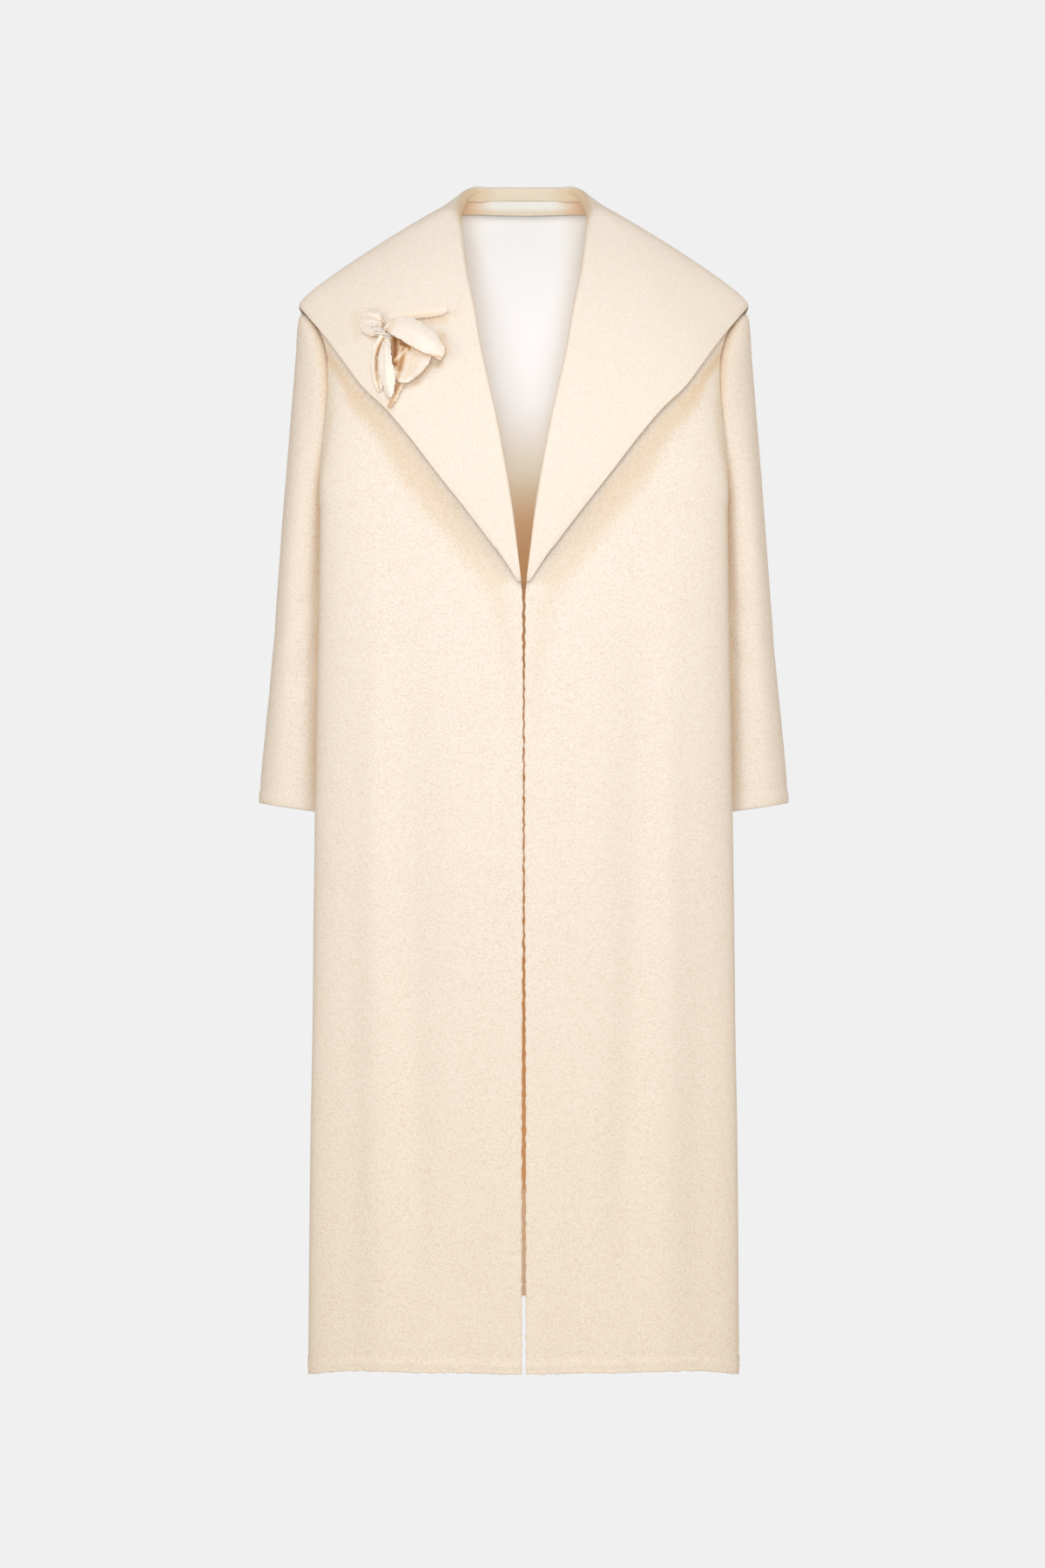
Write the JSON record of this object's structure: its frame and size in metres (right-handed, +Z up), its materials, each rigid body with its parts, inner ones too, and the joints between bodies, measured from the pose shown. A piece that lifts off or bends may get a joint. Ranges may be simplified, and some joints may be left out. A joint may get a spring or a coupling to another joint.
{
  "type": "cape-collar coat",
  "caption": "Full-length open-front wool coat, filled out and hollow, with a wide cape collar, three-quarter sleeves and a cloth flower pinned to the collar.",
  "frame": {"origin": "middle of the neck, level with its sides, where the wearer's neck and shoulders hold the coat up", "axes": "+Z up, the coat faces -Y, the wearer's left side is +X"},
  "size_m": [0.581, 0.3076, 1.2986],
  "materials": {
    "boucle_wool": "looped wool boucle, matt",
    "ribbed_crepe": "flat fine-ribbed crepe, matt",
    "satin_strip": "satin, soft sheen",
    "white_lining": "smooth woven lining",
    "petal_cloth": "raw-edged crepe",
    "clear_crystal": "clear polished",
    "steel_wire": "dull wire"
  },
  "bodies": {
    "root": {"front_left": "boucle_wool", "front_right": "boucle_wool", "back": "boucle_wool", "sleeve_left": "boucle_wool", "sleeve_right": "boucle_wool", "collar": "ribbed_crepe", "neck_band": "satin_strip", "back_lining": "white_lining", "petal_domed": "petal_cloth", "petal_cupped": "petal_cloth", "leaf_middle": "petal_cloth", "leaf_left": "petal_cloth", "leaf_flat": "petal_cloth", "tuft": "petal_cloth", "twist": "petal_cloth", "stem": "petal_cloth", "flower_base": "petal_cloth", "crystal_1": "clear_crystal", "crystal_2": "clear_crystal", "crystal_3": "clear_crystal", "crystal_4": "clear_crystal", "crystal_5": "clear_crystal", "hook": "steel_wire", "eye": "steel_wire"}
  },
  "joints": []
}
